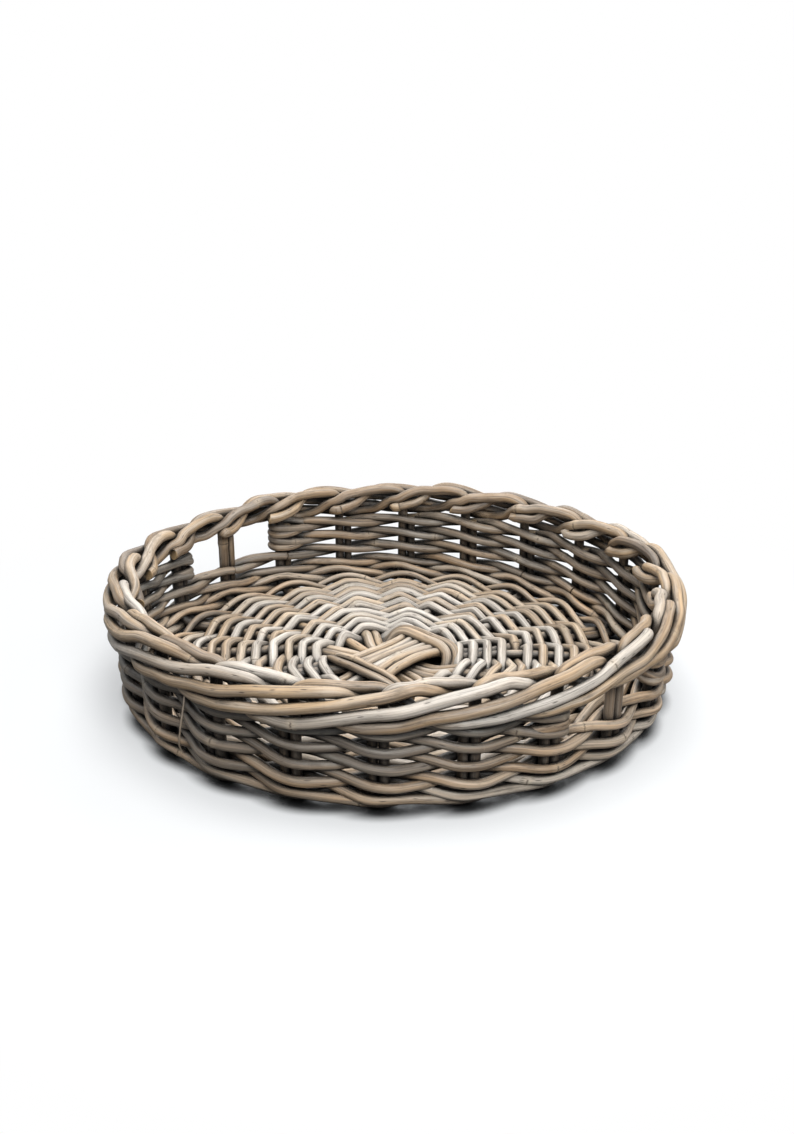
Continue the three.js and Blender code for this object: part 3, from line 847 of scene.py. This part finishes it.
# %% The strokes of a row
CHANGE = 0.42  # stations before a pair of stakes, where the two weavers change places
SEAM = 0.04  # of a stroke, from its middle to each of the two ends that meet there


def row_point(row, place, along, outer, side):
    """A place on a row: outer is away from the tray's inside, side is along the stakes."""
    out = row["out"] + outer * math.sin(row["tilt"]) + side * math.cos(row["tilt"])
    return at(place, out, along, row["z"] - outer * math.cos(row["tilt"]) + side * math.sin(row["tilt"]))


def outer_stroke(row, place):
    return [
        row_point(row, place - CHANGE, 0, 0.2 * REACH, LIFT),
        row_point(row, place, -LAND_HALF, REACH, -0.35 * LIFT),
        row_point(row, place, LAND_HALF, REACH, -LIFT),
    ]


def inner_stroke(row, place):
    return [
        row_point(row, place - CHANGE, 0, -0.2 * REACH, -LIFT),
        row_point(row, place, -LAND_HALF, -REACH, -0.2 * LIFT),
        row_point(row, place, LAND_HALF, -REACH, LIFT),
    ]


def ring_of_pair(row, seam):
    start, end = inner_stroke(row, seam)[1:]
    middle = (start + end) / 2
    line = [middle + (end - middle) * SEAM, end]
    for i in range(1, STATIONS):
        line += outer_stroke(row, seam + i) if i % 2 else inner_stroke(row, seam + i)
    return line + [inner_stroke(row, seam + STATIONS)[0], start, middle + (start - middle) * SEAM]


# %% [markdown]
# The tray's right side, seen from the front, is painted paler than its left, as painted light from the right.
# So the tone of a weaver in the wall changes with its place round the tray: it is lighter for a few stations
# about the right hand hole.

# %% The foot row and the rows that run all the way round
WALL_R = 4.0  # tightly beaten canes press into each other, so they are a little stouter than their prisms
# painted light: the tone is raised for a few stations about the right hand hole, in place of light from the
# right
PALEST = STATIONS  # the station of the right hand hole, which is also station 0
PAINTED_LIGHT, PALE_WIDTH, DARKER = 0.3, 2, 0.04  # PALE_WIDTH is counted in stations, and DARKER is for the rest
FOOT_INSET, FOOT_LIFT = 8.85, 1.4
WHOLE_ROW_DROPS = [1.5, 0.5]  # the lower rows are beaten down on the wale


def tones_round(first, last, tone):
    """Tones for a strand from one station to another, counted on past the last station."""
    shares = np.linspace(0, 1, STATIONS + 1)
    away = (first + shares * (last - first) - PALEST + HALF_TURN) % STATIONS - HALF_TURN
    # painted light: lighter about the right hand hole
    return shares, tone + PAINTED_LIGHT * np.exp(-((away / PALE_WIDTH) ** 2)) - DARKER


foot = {"out": EDGE_RADIUS - FOOT_INSET, "z": FLOOR_Z + FOOT_LIFT, "tilt": 0}
for i in range(2):
    rng = np.random.default_rng(600 + i)
    rods = [strand(kinked(ring_of_pair(foot, i), 12), WEAVER_R, rng.uniform(0.5, 0.75), 610 + i, 0.1)]
    name = "foot_weaver_" + str(i + 1)
    cane(name + "_cane", rods, wall_finish, name)
ROW_TONES = [[0.58, 0.42], [0.34, 0.46]]
for i in range(2):
    height = FIRST_ROW_Z + i * ROW_PITCH - WHOLE_ROW_DROPS[i]
    row = {"out": WALL_RADIUS, "z": height, "tilt": math.pi / 2}
    for j in range(2):
        seam = 5 * (i + 1) + j
        route = kinked(ring_of_pair(row, seam), 9)
        tones = tones_round(seam, seam + STATIONS, ROW_TONES[i][j])
        radius = WALL_R + 0.25 - 0.4 * j
        rods = [strand(route, radius, 0, 620 + 2 * i + j, 0.45, tones=tones)]
        name = "wall_weaver_" + str(i + 1) + "_" + str(j + 1)
        cane(name + "_cane", rods, wall_finish, name)
print("foot row and two whole rows")

# %% [markdown]
# ## The wale
# Where floor becomes wall, three canes are worked together. Each passes outside two stakes and behind one, so
# the edge shows long, rope-like strokes. The three canes run on from each other, end to end behind a stake.

# %% The wale, made
WALE_RAISE = 1.5
wale_out = EDGE_RADIUS + TURN_UP * math.sin(WALE_TILT)
wale = {"out": wale_out, "z": WALE_Z + WALE_RAISE, "tilt": WALE_TILT}
behind, wale_lift = REACH + WALE_EASE, LIFT + 0.3
WALE_TONES = [0.72, 0.6, 0.85]
WALE_ENDS = [0, 21, 42, 66]  # three times round, in stations
for i in range(3):
    first, last = WALE_ENDS[i : i + 2]
    line = [row_point(wale, first, 0.3, -behind, 0)]
    for place in range(first, last, 3):
        line += [
            row_point(wale, place, LAND_HALF, -behind, wale_lift),
            row_point(wale, place + 1, -LAND_HALF, REACH, wale_lift),
            row_point(wale, place + 1, LAND_HALF, REACH, wale_lift * 0.8),
            row_point(wale, place + 2, -LAND_HALF, REACH, -wale_lift * 0.8),
            row_point(wale, place + 2, LAND_HALF, REACH, -wale_lift),
            row_point(wale, place + 3, -LAND_HALF, -behind, -wale_lift),
        ]
    line.append(row_point(wale, last, -0.3, -behind, 0))
    tones = tones_round(first, last, WALE_TONES[i])
    rods = [strand(kinked(line, 12), WALL_R + 0.2, 0, 640 + i, tones=tones)]
    name = "wale_rod_" + str(i + 1)
    cane(name + "_cane", rods, wall_finish, name)
print("three wale rods")

# %% [markdown]
# ## The rows beside the hand holes
# The two top rows stop short of the hand holes. There each weaver is turned once round the last pair of
# stakes and tucked behind it, so the post looks wound.


# %% The upper rows, made
def wrap(row, place, towards, outside):
    outer = REACH if outside else -REACH
    height = -LIFT if outside == (towards > 0) else LIFT
    far = towards * LAND_HALF
    return [
        row_point(row, place, towards * (PAIR + REACH), 0, height),
        row_point(row, place, far, -outer, height),
        row_point(row, place, far * -0.8, -outer, height * 1.25),
        row_point(row, place - towards * 0.36, 0, -outer * 0.15, height * 0.6),
    ]


UPPER_TONES = [[0.32, 0.42, 0.3, 0.14], [0.38, 0.46, 0.12, 0.2]]
for i in range(2):
    row = {"out": WALL_RADIUS, "z": FIRST_ROW_Z + (2 + i) * ROW_PITCH, "tilt": math.pi / 2}
    for side in range(2):
        posts = (side * HALF_TURN + 1, side * HALF_TURN + HALF_TURN - 1)
        for j in range(2):
            outside = [(place - posts[0] + j) % 2 == 0 for place in range(posts[0], posts[1] + 1)]
            line = wrap(row, posts[0], -1, outside[0])[::-1]
            for place, out in zip(range(posts[0], posts[1] + 1), outside):
                stroke = outer_stroke(row, place) if out else inner_stroke(row, place)
                line += stroke[1:] if place == posts[0] else stroke
            line += wrap(row, posts[1], 1, outside[-1])
            tone = UPPER_TONES[i][2 * side + j]
            seed = 660 + 10 * i + 2 * side + j
            tones = tones_round(*posts, tone)
            rods = [strand(kinked(line, 8), WALL_R - 0.2 + 0.3 * j, 0, seed, 0.4, tones=tones)]
            name = "hand_hole_weaver_" + str(i + 1) + "_" + str(2 * side + j + 1)
            cane(name + "_cane", rods, wall_finish, name)
print("eight weavers stop at the hand holes")

# %% [markdown]
# ## A loose fibre
# Split cane sheds a fibre here and there. One dry stem is caught under the border and runs down over the wall
# to its foot. It is a strand like any other, only thin.

# %% The loose fibre, made
STEM_R = 0.8
stem = [(16.76, 246, 77), (16.71, 247, 60), (16.64, 246.5, 43), (16.55, 243, 27), (16.5, 237, 17.5)]
stem = swept([at(place, out, 0, z) for place, out, z in stem])
rods = [strand(stem, STEM_R, 0.75, 700, 0.1)]
cane("loose_fibre", rods, stake_finish, sides=8, lumps=0.0001)
print("one loose fibre, about", round(lengths(stem)[-1]), "mm long")

# %% [markdown]
# ## The studio
# The photograph is a plain product shot: a white sweep and soft light from all round. The floor is a wide
# pale disc that takes the tray's shadow, and a light of its own, for the camera alone, keeps that shadow
# soft. Away from the tray it fades into the white of the world, so that no edge shows. Under the tray, and
# where the wall stands close over it, its colour is painted nearly black: painted shade and a painted contact
# shadow.

# %% Floor
DISC_R, DISC_CORNERS = 3, 96  # metres here, and below
# painted shade: between these radii, in metres, the floor's colour goes from painted near-black under the
# tray to its open colour
TRAY_FOOT = (0.2, 0.22)  # from the dark under the tray to the open floor
FADE = (0.25, 0.55)
# the last tint is the near-black colour painted as shade under the tray and beside its foot
CAMERA_TINT, BOUNCE_TINT, PAINTED_SHADE_TINT = (0.27, 0.279, 0.288, 1), (0.15, 0.15, 0.15, 1), (0.02, 0.021, 0.022, 1)
FLOOR_GLOW = 0.54
turns = np.linspace(0, 2 * math.pi, DISC_CORNERS, endpoint=False)
rim = [(DISC_R * math.cos(a), DISC_R * math.sin(a), 0) for a in turns]
floor_mesh = bpy.data.meshes.new("studio_floor")
floor_mesh.from_pydata(rim, [], [list(range(DISC_CORNERS))])
studio_floor = bpy.data.objects.new("studio_floor", floor_mesh)
scene.collection.objects.link(studio_floor)
white = bpy.data.materials.new("studio_white")
tree = empty_tree(white)
seen = node(tree, "ShaderNodeLightPath").outputs["Is Camera Ray"]
place = node(tree, "ShaderNodeTexCoord").outputs["Object"]
distance = node(tree, "ShaderNodeVectorMath", {0: place}, operation="LENGTH").outputs["Value"]
far = maths(tree, "MULTIPLY", rising(tree, distance, *FADE), seen)
tint = mixed(tree, seen, BOUNCE_TINT, CAMERA_TINT)
# painted contact shadow: the floor's colour darkens where the tray closes it in, as the occlusion node finds
corner = node(tree, "ShaderNodeAmbientOcclusion", {"Distance": 0.018}, samples=24).outputs["AO"]
open_floor = rising(tree, corner, 0.45, 0.82)
open_floor = maths(tree, "MULTIPLY", open_floor, rising(tree, distance, *TRAY_FOOT))
tint = mixed(tree, open_floor, PAINTED_SHADE_TINT, tint)
paper = node(tree, "ShaderNodeBsdfDiffuse", {"Color": tint}).outputs[0]
lift = maths(tree, "MULTIPLY", maths(tree, "MULTIPLY", seen, open_floor), FLOOR_GLOW)
lift = node(tree, "ShaderNodeEmission", {"Color": (0.97, 0.985, 1, 1), "Strength": lift})
near = node(tree, "ShaderNodeAddShader", {0: paper, 1: lift.outputs[0]}).outputs[0]
blank = node(tree, "ShaderNodeEmission", {"Color": (1, 1, 1, 1), "Strength": 1.0}).outputs[0]
both = node(tree, "ShaderNodeMixShader", {0: far, 1: near, 2: blank}).outputs[0]
node(tree, "ShaderNodeOutputMaterial", {"Surface": both})
floor_mesh.materials.append(white)
print("floor of", len(rim), "corners")

# %% [markdown]
# The world is white to the camera and dim to everything else, so the lamps do the lighting.

# %% World
world = bpy.data.worlds.new("studio_world")
scene.world = world
tree = empty_tree(world)
path = node(tree, "ShaderNodeLightPath").outputs
plain = maths(tree, "MAXIMUM", path["Is Glossy Ray"], path["Is Transmission Ray"])
plain = maths(tree, "MAXIMUM", path["Is Camera Ray"], plain)
glow = node(tree, "ShaderNodeBackground", {"Color": (0.9, 0.95, 1, 1), "Strength": 0.07}).outputs[0]
blank = node(tree, "ShaderNodeBackground", {"Color": (1, 1, 1, 1), "Strength": 1.0}).outputs[0]
both = node(tree, "ShaderNodeMixShader", {0: plain, 1: glow, 2: blank}).outputs[0]
node(tree, "ShaderNodeOutputWorld", {"Surface": both})
scene.view_settings.view_transform = "Standard"
print("a white world")

# %% [markdown]
# ## The camera
# The photograph was fitted: the ellipses of rim and base give how high the camera stands, and how
# fast the tray shrinks towards the back gives how near. A small shift of the lens makes up the rest.

# %% Camera
AZIMUTH, ELEVATION, DISTANCE = math.radians(43.9), math.radians(25.76), 1.165
PHOTO_HEIGHT = 1134  # pixels, and so are the next three
FOCAL_LENGTH, SHIFT_X, SHIFT_Y = 1289, 2, 110.6
level = Vector((math.sin(AZIMUTH), -math.cos(AZIMUTH), 0))
back = level * math.cos(ELEVATION) + Vector((0, 0, math.sin(ELEVATION)))
right = Vector((math.cos(AZIMUTH), math.sin(AZIMUTH), 0))
lens = bpy.data.cameras.new("camera")
lens.sensor_width = 36
lens.lens = lens.sensor_width * FOCAL_LENGTH / PHOTO_HEIGHT
lens.shift_x = SHIFT_X / PHOTO_HEIGHT
lens.shift_y = SHIFT_Y / PHOTO_HEIGHT
lens.clip_start, lens.clip_end = 0.05, 20
camera = bpy.data.objects.new("camera", lens)
camera.location = back * DISTANCE
camera.rotation_mode = "QUATERNION"
camera.rotation_quaternion = (-back).to_track_quat("-Z", "Y")
scene.collection.objects.link(camera)
scene.camera = camera
print("camera at", [round(x, 3) for x in camera.location])

# %% [markdown]
# ## The lamps
# One large lamp hangs nearly overhead, a little to the right, as the shadows in the photograph say: the
# canes are bright on top and dark below, and the inside of the wall is darkest on the right, where it faces
# away. Four weaker ones stand round the tray, the strongest at the front, so that no side is left in the
# dark.

# %% Lamps
LAMP_COLOUR = (1, 0.987, 0.967)
AIM = Vector((0, 0, 0.03))
# name, metres to the right, towards the camera and up, size and power
LAMPS = [
    ("key", 0.1, -0.05, 1.6, 0.9, 24.5),
    ("front_fill", 0.35, 1.15, 1.1, 0.7, 22),
    ("right_fill", 1.2, -0.1, 1.1, 0.8, 6),
    ("left_fill", -1.2, -0.1, 1.1, 0.8, 5),
    ("back_fill", 0, -1.2, 1.1, 0.8, 9),
]
for name, aside, forward, up, size, power in LAMPS:
    light = bpy.data.lights.new(name, "AREA")
    light.shape = "DISK"
    light.size, light.energy, light.color = size, power, LAMP_COLOUR
    lamp = bpy.data.objects.new(name, light)
    lamp.location = right * aside + level * forward + Vector((0, 0, up))
    lamp.rotation_mode = "QUATERNION"
    lamp.rotation_quaternion = (AIM - lamp.location).to_track_quat("-Z", "Y")
    scene.collection.objects.link(lamp)
print(len(LAMPS), "lamps")
